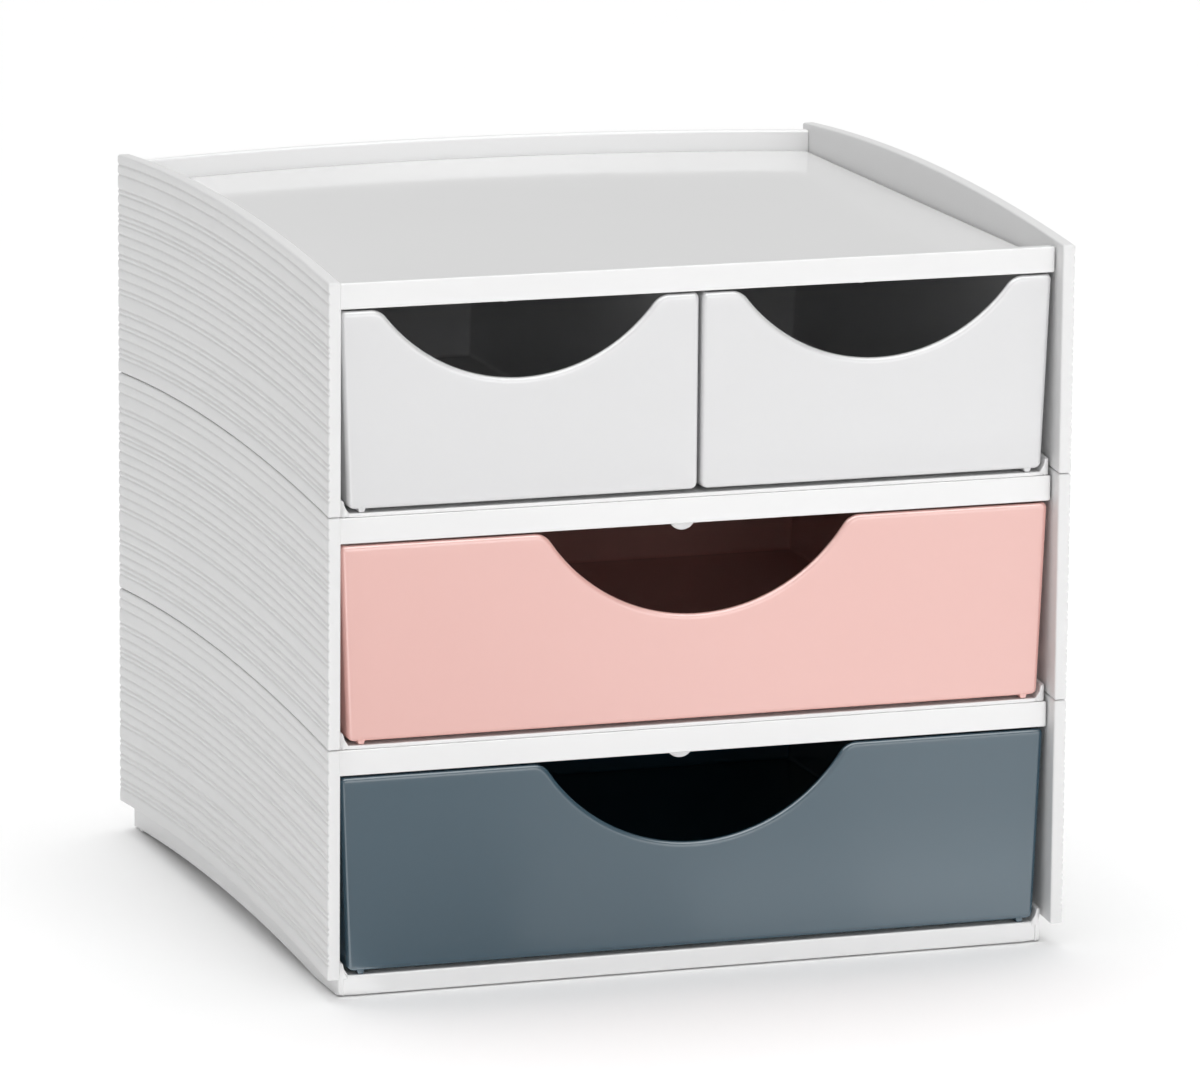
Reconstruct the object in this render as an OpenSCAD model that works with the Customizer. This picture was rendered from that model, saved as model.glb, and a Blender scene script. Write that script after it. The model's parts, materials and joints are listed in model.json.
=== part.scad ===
// Desktop drawer unit: three stacked levels, two half drawers over two full-width drawers.
// X runs across the unit, Y from the front to the back and Z up.
// The origin is the middle of the footprint, on the table.

/* [Unit] */
// Width across the outer faces of the side panels
unit_w = 188; // [176:1:230]
// Depth of a side panel, from its front edge to its rear edge
side_d = 182; // [165:1:215]
// Distance that the back bulges past the rear edges of the side panels
back_bulge = 11; // [8:0.5:14]
// Height of one drawer level, from tray to tray
level_h = 56.2; // [52:0.1:80]

/* [Side panels] */
// Thickness of a side panel
side_t = 3.2; // [3:0.1:4]
// Height of the front top corner of a side panel above the tray beside it
side_rise = 4.8; // [4.7:0.1:7]
// Radius of the arched top and bottom edges
arch_r = 1080; // [1000:10:1500]
// Distance from the front edge back to the crest of the arch
arch_y = 102; // [85:1:110]
// Gap between panels that stand on each other
seam_gap = 0.3; // [0.2:0.05:0.4]

/* [Shelves and tray] */
// Distance of the front band behind the front edges of the side panels
front_inset = 4; // [3:0.5:6]
// Thickness of a shelf plate
tray_t = 2.4; // [2.2:0.1:3]
// Thickness of the front band
band_t = 2.5; // [2:0.1:3.5]
// Height of the front lip above the tray
lip_h = 3.9; // [3:0.1:4]
// Width of the stop tab under a shelf
stop_w = 7; // [5:0.5:10]
// Thickness of a stop tab
stop_t = 1.6; // [1.2:0.1:2.5]
// Distance of a stop tab behind the front band
stop_back = 12; // [8:1:20]
// Drop of the stop tab over a full-width drawer
stop_drop = 4.2; // [3.8:0.1:6]
// Drop of each stop tab over the half-width drawers
half_stop_drop = 2.4; // [1.6:0.1:3]

/* [Bases] */
// Height of the drawer floor above the underside of its base
floor_h = 4.9; // [4.8:0.1:5]
// Thickness of the drawer floor
floor_t = 2; // [1.6:0.1:2.4]
// Thickness of the guide flange along each side
flange_t = 1.7; // [1.4:0.1:2.2]
// Height of the flange above the lower edge of its side panel
flange_rise = 2.6; // [2.6:0.1:4]
// Height of the arch under the skirt at its crest
skirt_arch = 2.9; // [1:0.1:3.5]
// Thickness of the front wall, the rear skirt and the ribs underneath
skirt_t = 2; // [1.4:0.1:2.5]
// Radius of the front corners
corner_r = 2; // [1:0.25:3]
// Gap between a base and the side panels that it nests between
nest_gap = 0.6; // [0.4:0.05:1]
// Width of the rail under the inner edges of the half-width drawers
rail_w = 6; // [4:0.5:10]

/* [Back panels] */
// Thickness of a back panel
back_t = 2.4; // [2:0.1:3]
// Bow of the back between the side panels
back_sag = 13.4; // [10:0.2:18]
// Height of the rear rim above the tray
rim_h = 5.4; // [5.2:0.1:8]

/* [Drawers] */
// Thickness of the drawer walls
wall_t = 1.8; // [1.4:0.1:2.4]
// Thickness of the drawer bottom
bottom_t = 1.8; // [1.4:0.1:2.4]
// Depth of a drawer, front to back
drawer_d = 172; // [150:1:190]
// Smallest gap between the rear corners of a drawer and the back panel
drawer_rear_gap = 1.4; // [1:0.1:4]
// Gap between a drawer and the side panel, at the top edge
side_gap = 1.05; // [0.8:0.05:2]
// Gap between the two half-width drawers
pair_gap = 0.8; // [0.5:0.1:2]
// Gap between the top edge of a drawer and the shelf above it
top_gap = 0.5; // [0.4:0.1:1.2]
// Inward slope of an outer wall over the height of the drawer
draft = 1.9; // [1.6:0.1:3]
// Height of the runner ridges under a drawer
runner_h = 0.8; // [0.6:0.1:1.5]
// Width of a runner ridge
runner_w = 2.2; // [1.6:0.1:3]
// Distance of a runner ridge from the bottom edge of the outer wall
runner_inset = 2.4; // [2:0.1:6]
// Radius of the finger scoop in a full-width drawer
wide_scoop_r = 45; // [35:0.5:60]
// Depth of the finger scoop in a full-width drawer
wide_scoop_d = 21.8; // [12:0.1:28]
// Radius of the finger scoop in a half-width drawer
half_scoop_r = 42.5; // [32:0.5:43]
// Depth of the finger scoop in a half-width drawer
half_scoop_d = 18; // [10:0.1:19]
// Radius of the shoulders beside a scoop
shoulder_r = 5; // [3:0.25:5.5]
// Radius of the bottom corners of a drawer
bottom_r = 1.8; // [1:0.1:2.5]
// Radius of the top corners of a drawer
top_r = 1; // [0.5:0.1:1.4]

/* [Tabs and pads] */
// Width of a locating tab
tab_w = 14; // [8:1:20]
// Length of a locating tab
tab_l = 1.5; // [1:0.1:1.5]
// Thickness of a locating tab
tab_t = 1.2; // [1:0.05:1.25]
// Distance of the end tabs from the ends of the side panel
tab_inset = 24; // [20:1:40]
// Play around a tab in its pocket
tab_play = 0.15; // [0.1:0.05:0.2]
// Diameter of a non-slip pad
pad_dia = 10; // [8:0.5:14]
// Thickness of a non-slip pad
pad_h = 1.2; // [0.8:0.1:1.6]
// Height of a pad that shows below the base
pad_proud = 0.4; // [0.2:0.1:0.6]
// Distance of a pad from the side and the front of the base
pad_inset = 14; // [12:1:30]
// Distance of a rear pad from the rear edges of the side panels
pad_rear_inset = 19; // [17:1:40]

/* [Hidden] */

LOWER = 0;
MIDDLE = 1;
UPPER = 2;
LEFT = -1;
RIGHT = 1;

$fn = 48;
arch_fn = 720;
corner_steps = 5;
cut = 1;

shell_white = "#f1f2f1";
drawer_white = "#eff0ef";
drawer_pink = "#efc0b6";
drawer_slate = "#5c6d78";
pad_grey = "#d9dad8";

run_gap = 0.1;
end_gap = 0.1;
lip_gap = 0.2;
hook_low = 1.3;
foot_t = 2.5;
foot_h = 4;
foot_half = 70;
ledge_t = 2;
ledge_h = 1.5;
ledge_half = 60;
tongue_l = 1;
guide_w = 1;
guide_h = 1.6;
clamp_back = 6;
clamp_end = 12;
rail_back = 12;
boss_wall = 2;
pad_play = 0.15;
runner_front = 0.3;
runner_chamfer = 0.5;
rib_places = [-45, 0, 45];

overall_d = side_d + back_bulge;
front_y = -overall_d/2;
side_rear_y = front_y + side_d;
band_y = front_y + front_inset;
inner_half = unit_w/2 - side_t;
nest_half = inner_half - nest_gap;
shelf_half = inner_half - end_gap;

// Height of the crest of a side panel above the tray beside it
crest_h = side_rise + arch_r - sqrt(arch_r*arch_r - arch_y*arch_y);

back_outer_r = (inner_half*inner_half + back_sag*back_sag)/(2*back_sag);
back_inner_r = back_outer_r - back_t;
back_cy = front_y + overall_d - back_outer_r;

tab_ys = [front_y + tab_inset, front_y + side_d/2, side_rear_y - tab_inset];

pad_front_y = band_y + pad_inset;
pad_rear_y = side_rear_y - pad_rear_inset;
pad_x = nest_half - pad_inset;

drawer_half = inner_half - side_gap;
half_centre = (pair_gap/2 + drawer_half)/2;

// Inner face of the back panel, beside the rear corners of the drawers
bay_rear_y = back_cy + sqrt(back_inner_r*back_inner_r - drawer_half*drawer_half);

// The drawers are flush with the front band, and one that is deeper than its bay stands proud of it
drawer_front_y = min(band_y, bay_rear_y - drawer_rear_gap - drawer_d);
drawer_rear_y = drawer_front_y + drawer_d;

// Underside of the base of a level
function level_z(level) = pad_proud + level*level_h;

// Crest of the lower edge of the side panels of a level
function foot_z(level) = level_z(level) + crest_h + seam_gap;

// Underside of the shelf of a level
function shelf_z(level) = level_z(level + 1) - tray_t;

// ---- helpers ----

// Extrudes an outline of the (Y, Z) plane from x0 to x1
module along_x(x0, x1) {
    translate([x0, 0, 0]) rotate([90, 0, 90]) linear_extrude(x1 - x0) children();
}

// Extrudes an outline of the (X, Z) plane from y0 to y1
module along_y(y0, y1) {
    translate([0, y1, 0]) rotate([90, 0, 0]) linear_extrude(y1 - y0) children();
}

// Disc of the (Y, Z) plane under the long arch whose crest is at the given height
module arch_disc(crest_z) {
    translate([front_y + arch_y, crest_z - arch_r]) circle(r = arch_r, $fn = arch_fn);
}

// Strip between two arches, from one depth to another
module arch_strip(low_crest, high_crest, from_y, to_y) {
    reach = arch_r/10;
    intersection() {
        translate([from_y, low_crest - reach]) square([to_y - from_y, high_crest - low_crest + 2*reach]);
        difference() {
            arch_disc(high_crest);
            arch_disc(low_crest);
        }
    }
}

// Ring of the bowed back in plan, between two radii, out to a half width
module back_ring(inner_r, outer_r, half) {
    intersection() {
        translate([0, back_cy]) difference() {
            circle(r = outer_r, $fn = arch_fn);
            circle(r = inner_r, $fn = arch_fn);
        }
        translate([-half, front_y + side_d/2]) square([2*half, overall_d]);
    }
}

// Plan of a plate with a straight front, rounded front corners and a bowed rear edge
module plate_plan(half, from_y, rear_r, front_r) {
    intersection() {
        union() {
            translate([-half, from_y + front_r]) square([2*half, overall_d]);
            translate([-half + front_r, from_y]) square([2*(half - front_r), 2*front_r]);
            for (s = [LEFT, RIGHT]) translate([s*(half - front_r), from_y + front_r]) circle(r = front_r);
        }
        translate([0, back_cy]) circle(r = rear_r, $fn = arch_fn);
    }
}

// Points of the arc that rounds corner p between its neighbours a and b
function corner_arc(a, p, b, r) =
    let (
        u = (a - p)/norm(a - p),
        v = (b - p)/norm(b - p),
        half_angle = acos(u*v)/2,
        centre = p + (u + v)/norm(u + v)*r/sin(half_angle),
        start = p + u*r/tan(half_angle) - centre,
        finish = p + v*r/tan(half_angle) - centre,
        from = atan2(start[1], start[0]),
        turn = atan2(finish[1], finish[0]) - from,
        sweep = turn > 180 ? turn - 360 : turn < -180 ? turn + 360 : turn
    )
    [for (i = [0:corner_steps]) centre + r*[cos(from + sweep*i/corner_steps), sin(from + sweep*i/corner_steps)]];

// Polygon with every corner rounded by its own radius
module rounded_polygon(points, radii) {
    n = len(points);
    polygon([for (i = [0:n - 1])
        each corner_arc(points[(i + n - 1)%n], points[i], points[(i + 1)%n], radii[i])]);
}

// ---- side panels ----

// Locating tabs at the right end of a shelf, grown by the play for their pockets
module shelf_tabs(level, play = 0) {
    for (y = tab_ys)
        translate([shelf_half - cut, y - tab_w/2 - play, shelf_z(level) + tray_t/2 - tab_t/2 - play])
            cube([cut + end_gap + tab_l + play, tab_w + 2*play, tab_t + 2*play]);
}

// Locating tabs at the right flange of a base, grown by the play for their pockets
module base_tabs(level, play = 0) {
    low = foot_z(level) + hook_low;
    for (y = tab_ys)
        along_x(nest_half - cut, inner_half + tab_l + play)
            arch_strip(low - play, low + tab_t + play, y - tab_w/2 - play, y + tab_w/2 + play);
}

module right_side(level) {
    color(shell_white)
    difference() {
        along_x(inner_half, unit_w/2)
            arch_strip(foot_z(level), level_z(level + 1) + crest_h, front_y, side_rear_y);
        shelf_tabs(level, tab_play);
        base_tabs(level, tab_play);
        translate([0, 0, level_z(level)]) linear_extrude(level_h + rim_h + tab_play)
            back_ring(back_inner_r - tab_play, back_outer_r + tab_play, inner_half + tongue_l + tab_play);
    }
}

module left_side(level) {
    mirror([1, 0, 0]) right_side(level);
}

// ---- back panels ----

// Bowed panel whose end tongues stand in the grooves of its side panels and whose foot stands on the base
module back_panel(level) {
    low = level_z(level) + rim_h + seam_gap;
    tongue_low = foot_z(level);
    top = level_z(level + 1) + rim_h;
    foot_low = level_z(level) + floor_h;
    color(shell_white) {
        translate([0, 0, low]) linear_extrude(top - low)
            back_ring(back_inner_r, back_outer_r, shelf_half);
        translate([0, 0, tongue_low]) linear_extrude(top - tongue_low)
            back_ring(back_inner_r, back_outer_r, inner_half + tongue_l);
        translate([0, 0, foot_low]) linear_extrude(foot_h)
            back_ring(back_inner_r - foot_t, back_inner_r - nest_gap, foot_half);
        translate([0, 0, low]) linear_extrude(foot_low + foot_h - low)
            back_ring(back_inner_r - foot_t, back_inner_r + back_t/4, foot_half);
        translate([0, 0, shelf_z(level) - ledge_h]) linear_extrude(ledge_h)
            back_ring(back_inner_r - ledge_t, back_inner_r + back_t/4, ledge_half);
    }
}

// ---- shelves and tray ----

// Tab with a round lower end that hangs under a shelf and holds back a drawer's rear wall
module stop_tab(level, x, drop) {
    y = band_y + stop_back;
    along_y(y, y + stop_t)
        translate([x, shelf_z(level)])
            intersection() {
                translate([-stop_w/2, -drop]) square([stop_w, drop + tray_t/2]);
                union() {
                    translate([0, stop_w/2 - drop]) circle(d = stop_w);
                    translate([-stop_w/2, stop_w/2 - drop]) square([stop_w, stop_w + tray_t]);
                }
            }
}

module shelf(level) {
    color(shell_white) {
        translate([0, 0, shelf_z(level)]) linear_extrude(tray_t)
            plate_plan(shelf_half, band_y, back_inner_r - end_gap, corner_r/4);
        translate([0, 0, shelf_z(level)]) linear_extrude(tray_t + lip_h)
            intersection() {
                plate_plan(shelf_half, band_y, back_inner_r, corner_r/4);
                translate([-shelf_half, band_y]) square([2*shelf_half, band_t]);
            }
        shelf_tabs(level);
        mirror([1, 0, 0]) shelf_tabs(level);
        if (level == UPPER)
            for (s = [LEFT, RIGHT]) stop_tab(level, s*half_centre, half_stop_drop);
        else
            stop_tab(level, 0, stop_drop);
    }
}

// ---- bases ----

// Outline of a guide flange: its lower edge is the arch of the skirt
module flange_side(level) {
    arch_strip(level_z(level) + skirt_arch, foot_z(level) + flange_rise, band_y, side_rear_y);
}

// Everything of a base that stays inside its nesting outline
module base_body(level) {
    z = level_z(level);
    wall_y = level == LOWER ? band_y : band_y + band_t + lip_gap;
    rear_r = back_inner_r - nest_gap;
    intersection() {
        translate([0, 0, z]) linear_extrude(level_h) plate_plan(nest_half, band_y, rear_r, corner_r);
        union() {
            translate([-nest_half, band_y, z + floor_h - floor_t]) cube([2*nest_half, overall_d, floor_t]);
            translate([-nest_half, wall_y, z]) cube([2*nest_half, skirt_t, floor_h]);
            translate([0, 0, z]) linear_extrude(floor_h) back_ring(rear_r - skirt_t, rear_r + cut, nest_half);
            for (x = rib_places)
                translate([x - skirt_t/2, wall_y, z]) cube([skirt_t, overall_d - front_inset, floor_h]);
            for (x = [-pad_x, pad_x], y = [pad_front_y, pad_rear_y])
                translate([x, y, z]) cylinder(d = pad_dia + 2*boss_wall, h = floor_h);
            for (s = [LEFT, RIGHT]) scale([s, 1, 1]) {
                along_x(nest_half - flange_t, nest_half) flange_side(level);
                along_y(band_y, side_rear_y)
                    translate([nest_half - flange_t, z + floor_h])
                        polygon([[-guide_w, -cut], [cut, -cut], [cut, guide_h], [0, guide_h], [-guide_w, 0]]);
            }
        }
    }
}

// Strip above the lower edge of the right side panel, which rests against its inner face
module base_clamp(level) {
    along_x(nest_half - flange_t/2, inner_half)
        arch_strip(foot_z(level), foot_z(level) + flange_rise, band_y + clamp_back, side_rear_y - clamp_end);
}

module base(level) {
    z = level_z(level);
    color(shell_white)
    difference() {
        union() {
            base_body(level);
            base_clamp(level);
            mirror([1, 0, 0]) base_clamp(level);
            base_tabs(level);
            mirror([1, 0, 0]) base_tabs(level);
            if (level == UPPER)
                translate([-rail_w/2, band_y + rail_back, z + floor_h - floor_t/2])
                    cube([rail_w, drawer_rear_y - band_y - rail_back, floor_t/2 + runner_h]);
        }
        for (x = [-pad_x, pad_x], y = [pad_front_y, pad_rear_y])
            translate([x, y, z - cut])
                cylinder(d = pad_dia + 2*pad_play, h = cut + pad_h - pad_proud);
        if (level != LOWER)
            translate([-unit_w/2, band_y - cut, z - cut])
                cube([unit_w, cut + band_t + lip_gap, cut + lip_h + lip_gap]);
    }
}

// ---- pads ----

module pad(x, y) {
    color(pad_grey) translate([x, y, 0]) cylinder(d = pad_dia, h = pad_h);
}

// ---- drawers ----

// Cutter for a finger scoop: a round dip between two rounded shoulders
module scoop(x, top, radius, depth) {
    centre_z = top - depth + radius;
    shoulder_z = top - shoulder_r;
    reach = radius + shoulder_r;
    shoulder_x = sqrt(reach*reach - (centre_z - shoulder_z)*(centre_z - shoulder_z));
    meet_x = shoulder_x*radius/reach;
    meet_z = centre_z - (centre_z - shoulder_z)*radius/reach;
    over = top + cut;
    translate([x, 0]) difference() {
        union() {
            translate([0, centre_z]) circle(r = radius, $fn = arch_fn/4);
            polygon([
                [-shoulder_x, over], [-shoulder_x, top], [-meet_x, meet_z],
                [meet_x, meet_z], [shoulder_x, top], [shoulder_x, over]]);
        }
        for (s = [LEFT, RIGHT]) translate([s*shoulder_x, shoulder_z]) circle(r = shoulder_r);
    }
}

// Runner ridge in section, hanging from z = 0
module runner_section() {
    w = runner_w/2;
    polygon([[-w, cut], [-w, runner_chamfer - runner_h], [-w + runner_chamfer, -runner_h],
        [w - runner_chamfer, -runner_h], [w, runner_chamfer - runner_h], [w, cut]]);
}

// Open drawer between x0 and x1 at its top edge, whose ends slope in by their own drafts
module drawer_shell(level, x0, x1, draft0, draft1, scoop_r, scoop_d) {
    low = level_z(level) + floor_h + run_gap + runner_h;
    top = shelf_z(level) - top_gap;
    slope0 = draft0/(top - low);
    slope1 = draft1/(top - low);
    inner_low = low + bottom_t;
    over = top + cut;
    difference() {
        along_y(drawer_front_y, drawer_rear_y)
            rounded_polygon(
                [[x0, top], [x1, top], [x1 - draft1, low], [x0 + draft0, low]],
                [top_r, top_r, bottom_r, bottom_r]);
        along_y(drawer_front_y + wall_t, drawer_rear_y - wall_t)
            rounded_polygon([
                [x0 + wall_t + slope0*(top - over), over],
                [x1 - wall_t - slope1*(top - over), over],
                [x1 - wall_t - slope1*(top - inner_low), inner_low],
                [x0 + wall_t + slope0*(top - inner_low), inner_low]],
                [cut/4, cut/4, bottom_r/2, bottom_r/2]);
        along_y(drawer_front_y - cut, drawer_front_y + wall_t + cut) scoop((x0 + x1)/2, top, scoop_r, scoop_d);
    }
}

module runner(level, x) {
    along_y(drawer_front_y + runner_front, drawer_rear_y - runner_front)
        translate([x, level_z(level) + floor_h + run_gap + runner_h]) runner_section();
}

module wide_drawer(level) {
    runner_x = drawer_half - draft - runner_inset - runner_w/2;
    drawer_shell(level, -drawer_half, drawer_half, draft, draft, wide_scoop_r, wide_scoop_d);
    for (s = [LEFT, RIGHT]) runner(level, s*runner_x);
}

// The right-hand half drawer: its inner wall is upright and rides on the centre rail
module half_drawer() {
    runner_x = drawer_half - draft - runner_inset - runner_w/2;
    drawer_shell(UPPER, pair_gap/2, drawer_half, 0, draft, half_scoop_r, half_scoop_d);
    runner(UPPER, runner_x);
}

module lower_drawer() {
    color(drawer_slate) wide_drawer(LOWER);
}

module middle_drawer() {
    color(drawer_pink) wide_drawer(MIDDLE);
}

module upper_right_drawer() {
    color(drawer_white) half_drawer();
}

module upper_left_drawer() {
    color(drawer_white) mirror([1, 0, 0]) half_drawer();
}

// ---- the unit ----

base(LOWER);  // lower_base
base(MIDDLE);  // middle_base
base(UPPER);  // upper_base
left_side(LOWER);  // lower_left_side
left_side(MIDDLE);  // middle_left_side
left_side(UPPER);  // upper_left_side
right_side(LOWER);  // lower_right_side
right_side(MIDDLE);  // middle_right_side
right_side(UPPER);  // upper_right_side
back_panel(LOWER);  // lower_back
back_panel(MIDDLE);  // middle_back
back_panel(UPPER);  // upper_back
shelf(LOWER);  // lower_shelf
shelf(MIDDLE);  // middle_shelf
shelf(UPPER);  // top_tray
lower_drawer();
middle_drawer();
upper_left_drawer();
upper_right_drawer();
pad(-pad_x, pad_front_y);  // pad_front_left
pad(pad_x, pad_front_y);  // pad_front_right
pad(-pad_x, pad_rear_y);  // pad_rear_left
pad(pad_x, pad_rear_y);  // pad_rear_right
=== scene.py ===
"""Looks of a desktop drawer unit: ribbed panels, rounded mouldings and procedural plastics round the
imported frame.

Lengths are in metres, in the row frame: X across the unit, Y from the front to the back, Z up.
Every piece is a closed skin of points worked out with numpy. Most are bars: an outline with round
corners is carried along a straight or bowed path. A drawer is a stack of rings that follow its
walls, rim and finger scoop.
"""

import json
import math

import bpy
import numpy as np
from mathutils import Matrix, Vector


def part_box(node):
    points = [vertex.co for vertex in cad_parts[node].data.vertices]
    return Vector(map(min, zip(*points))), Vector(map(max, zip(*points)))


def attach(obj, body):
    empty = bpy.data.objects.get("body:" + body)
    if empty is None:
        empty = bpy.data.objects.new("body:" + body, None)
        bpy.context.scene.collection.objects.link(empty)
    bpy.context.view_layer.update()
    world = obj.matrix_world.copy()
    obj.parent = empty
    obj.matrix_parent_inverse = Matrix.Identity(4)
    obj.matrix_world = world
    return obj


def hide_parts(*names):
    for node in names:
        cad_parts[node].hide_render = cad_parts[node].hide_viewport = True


MM = 0.001

# ---- sizes shared by the mouldings ----

SEAM = 0.22 * MM  # gap between panels that stand on each other
ARCH_R = 1080 * MM  # radius of the arched edges
ARCH_BACK = 102 * MM  # crest of the arch, behind the front edge
FRONT_INSET = 4 * MM  # front bands behind the panels' front edges
PLATE_T = 2.4 * MM  # plate of a shelf
BAND_T = 2.5 * MM  # front band of a shelf
LIP_H = 3.9 * MM  # lip above the plate
RIM_H = 5.4 * MM  # top of a back panel above the plate
FLOOR_H = 4.9 * MM  # floor that a drawer runs on, above the underside of the base
FLOOR_T = 2.0 * MM
SKIRT_T = 2.0 * MM  # walls under the floor
SKIRT_ARCH = 2.9 * MM  # crest of the flanges' lower edge, above the underside of the base
FLANGE_T = 1.7 * MM
FLANGE_RISE = 2.6 * MM  # top of the flanges above the foot of the side panels
NEST_GAP = 0.6 * MM  # between a base and the panels round it
LIP_GAP = 0.2 * MM  # between a lip and the base's wall behind it
END_GAP = 0.1 * MM  # between the end of a panel, shelf or flange and its neighbour
BACK_T = 2.4 * MM
BACK_SAG = 13.4 * MM  # depth of the back's bow
WALL_T = 1.8 * MM  # walls of a drawer
DRAFT = 1.9 * MM  # how far a drawer's side slopes in from the rim down
RUNNER_H = 0.8 * MM
RUNNER_W = 2.2 * MM
RUNNER_INSET = 2.4 * MM  # runner inside the foot of the drawer's side

EDGE_R = 0.3 * MM  # rounding of most edges
BASE_END_R = 0.35 * MM  # rounding at the ends of floors and flanges
LEAST_R = 0.05 * MM  # least radius of a corner, where an outline draws in
TUCK = 0.05 * MM  # keeps one part of a piece just inside another
HOLD = 0.12 * MM  # distance of the points that keep flat faces flat beside a rounding
ARC_STEPS = 5  # steps round a corner or an edge
SHARP_ANGLE = math.radians(40)  # faces that meet at more than this keep a sharp edge
ARCH_PLACES = 40  # places along a side panel, a flange or a floor
BOW_PLACES = 56  # places along a bowed panel
SHELF_PLACES = 64

LOWER, MIDDLE, UPPER = 0, 1, 2
LEFT, RIGHT = -1, 1
LEVEL_NAMES = ("lower", "middle", "upper")
SIDE_NAMES = {LEFT: "left", RIGHT: "right"}
PAD_NAMES = ("pad_front_left", "pad_front_right", "pad_rear_left", "pad_rear_right")

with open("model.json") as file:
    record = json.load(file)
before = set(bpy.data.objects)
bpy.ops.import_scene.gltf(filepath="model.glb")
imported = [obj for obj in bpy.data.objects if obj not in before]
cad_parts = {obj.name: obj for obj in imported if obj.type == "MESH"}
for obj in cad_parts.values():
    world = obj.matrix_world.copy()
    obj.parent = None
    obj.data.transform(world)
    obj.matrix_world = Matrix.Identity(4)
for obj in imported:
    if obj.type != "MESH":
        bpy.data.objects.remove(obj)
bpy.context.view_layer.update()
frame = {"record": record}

mounts = {m["name"]: m for m in frame["record"]["mounts"]}
TRAY_Z = mounts["tray_floor"]["pos_m"][2]
panel_low, panel_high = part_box("upper_right_side")
FRONT_Y, PANEL_REAR_Y = panel_low.y, panel_high.y
INNER_X, OUTER_X = panel_low.x, panel_high.x
CREST_Z = panel_high.z
LEVEL_H = panel_high.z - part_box("middle_right_side")[1].z
PANEL_H = LEVEL_H - SEAM
BAND_Y = FRONT_Y + FRONT_INSET
NEST_X = INNER_X - NEST_GAP
BACK_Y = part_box("upper_back")[1].y
BACK_R = (INNER_X**2 + BACK_SAG**2) / (2 * BACK_SAG)
BACK_CENTRE = BACK_Y - BACK_R
BACK_INNER_R = BACK_R - BACK_T
DRAWER_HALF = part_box("lower_drawer")[1].x
DRAWER_REAR_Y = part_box("lower_drawer")[1].y
PAIR_GAP = 2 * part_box("upper_right_drawer")[0].x


def shelf_top(level):
    """Height of the shelf or tray that closes a level: the tray's less LEVEL_H per level above."""
    return TRAY_Z - (UPPER - level) * LEVEL_H


def base_low(level):
    """Height of the underside of a level's base: LEVEL_H under the shelf that closes the level."""
    return shelf_top(level) - LEVEL_H


def arch(y):
    """Drop of the arched edges below their crest: sqrt(ARCH_R^2 - distance^2) - ARCH_R, where the
    distance is that from the crest."""
    return np.sqrt(ARCH_R**2 - (y - FRONT_Y - ARCH_BACK) ** 2) - ARCH_R


def panel_foot(level):
    """Crest of the lower edge of a level's side panels, PANEL_H under that of their upper edge."""
    return CREST_Z - (UPPER - level) * LEVEL_H - PANEL_H


# ---- outlines and skins ----


def unit(v):
    """Vectors divided by their own length."""
    return v / np.linalg.norm(v, axis=-1, keepdims=True)


def quarter(steps=ARC_STEPS):
    """Angles from 0 to a quarter turn, in equal steps."""
    return np.linspace(0, np.pi / 2, steps + 1)


def section(*rows):
    """Corners (n, 2) and radii (n) of an outline given as rows of two places and a radius in mm."""
    rows = np.array(rows)
    return rows[:, :2], rows[:, 2] * MM


def rectangle(left, right, low, high):
    """Corners of an upright rectangle, from the upper left one down and round."""
    return np.array([(left, high), (left, low), (right, low), (right, high)])


def rounded(corners, radii, steps=ARC_STEPS):
    """Closed outlines with round corners, for corners (..., n, 2) and radii (..., n).

    u and v are the unit edges from corner p to its neighbours, and half is half the angle between
    them. The arc's centre is p + (u + v)/|u + v| * r/sin(half), and the arc turns about it from
    p + u*r/tan(half) to p + v*r/tan(half). One more point, HOLD further along each edge, keeps the
    faces beside it flat.
    """
    p = np.asarray(corners, float)
    u = unit(np.roll(p, 1, -2) - p)
    v = unit(np.roll(p, -1, -2) - p)
    half = np.arccos(np.clip((u * v).sum(-1), -1, 1)) / 2
    r = np.broadcast_to(radii, half.shape)
    centre = (p + unit(u + v) * (r / np.sin(half))[..., None])[..., None, :]
    start = (p + u * (r / np.tan(half))[..., None])[..., None, :]
    end = (p + v * (r / np.tan(half))[..., None])[..., None, :]
    turn = (np.pi - 2 * half)[..., None]
    t = np.linspace(0, 1, steps + 1)
    from_start = (np.sin((1 - t) * turn) / np.sin(turn))[..., None]
    from_end = (np.sin(t * turn) / np.sin(turn))[..., None]
    arc = centre + from_start * (start - centre) + from_end * (end - centre)
    held = np.concatenate([start + u[..., None, :] * HOLD, arc, end + v[..., None, :] * HOLD], -2)
    return held.reshape(*p.shape[:-2], -1, 2)


def inset(corners, depth):
    """Anticlockwise outlines (..., n, 2) moved inwards: p goes to p + (a + b)/(1 + a.b)*depth, where a
    and b are the inward normals of the two edges at p."""
    along = unit(np.roll(corners, -1, -2) - corners)
    normal = np.stack([-along[..., 1], along[..., 0]], -1)
    before = np.roll(normal, 1, -2)
    spread = 1 + (before * normal).sum(-1, keepdims=True)
    return corners + (before + normal) / spread * depth[..., None, None]


def stations(start, stop, end_r, middle=2):
    """Places along a bar, and how far its outline is inset at each: over the last end_r at both ends
    the inset follows a quarter circle, end_r*(1 - sin a) at the place end_r*(1 - cos a) from the end.
    Between them stand the given number of middle places, with no inset."""
    a = quarter()
    near = end_r * (1 - np.cos(a))
    depth = end_r * (1 - np.sin(a))
    between = np.linspace(start + end_r + HOLD, stop - end_r - HOLD, middle)
    place = np.concatenate([start + near, between, (stop - near)[::-1]])
    return place, np.concatenate([depth, np.zeros(middle), depth[::-1]])


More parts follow.
